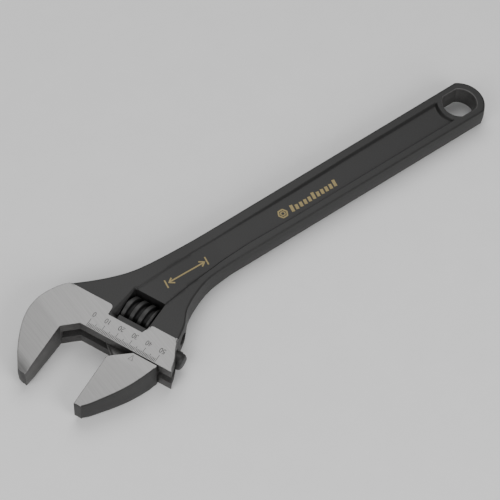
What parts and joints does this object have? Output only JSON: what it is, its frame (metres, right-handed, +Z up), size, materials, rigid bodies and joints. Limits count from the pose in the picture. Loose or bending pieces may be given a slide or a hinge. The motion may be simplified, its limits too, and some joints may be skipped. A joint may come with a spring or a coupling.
{
  "type": "adjustable wrench",
  "caption": "Adjustable wrench with a panelled handle, a hang hole, a sliding jaw, a worm knurl in its window and a millimetre scale on the head.",
  "frame": {"origin": "on the ground underside face of the head, on the centre line of the handle, 8 mm from the scale's zero mark towards the handle", "axes": "+X from the head along the handle to the hang hole, +Z up and out of the face that carries the scale"},
  "size_m": [0.3773, 0.0936, 0.022],
  "materials": {
    "forging": "matte black phosphate, with ground faces on the head",
    "jaw_steel": "ground faces, fine slanting grinding lines",
    "knurl_steel": "satin black phosphate",
    "pin_steel": "satin",
    "spring_steel": "bright wire"
  },
  "bodies": {
    "body": {"body": "forging", "pin": "pin_steel", "spring": "spring_steel"},
    "jaw": {"jaw": "jaw_steel"},
    "knurl": {"knurl": "knurl_steel"}
  },
  "joints": [
    {"name": "jaw_slide", "type": "slide", "parent": "body", "child": "jaw", "axis": [0.3827, -0.9239, 0], "range_m": [-0.0362, 0.0137]},
    {"name": "knurl_spin", "type": "hinge", "parent": "body", "child": "knurl", "pos_m": [0.02732, -0.00987, 0.011], "axis": [0.3827, -0.9239, 0], "range_deg": [-2200, 840]}
  ],
  "couplings": [
    {"joint": "knurl_spin", "follows": "jaw_slide", "rad_per_m": 1047.2}
  ]
}
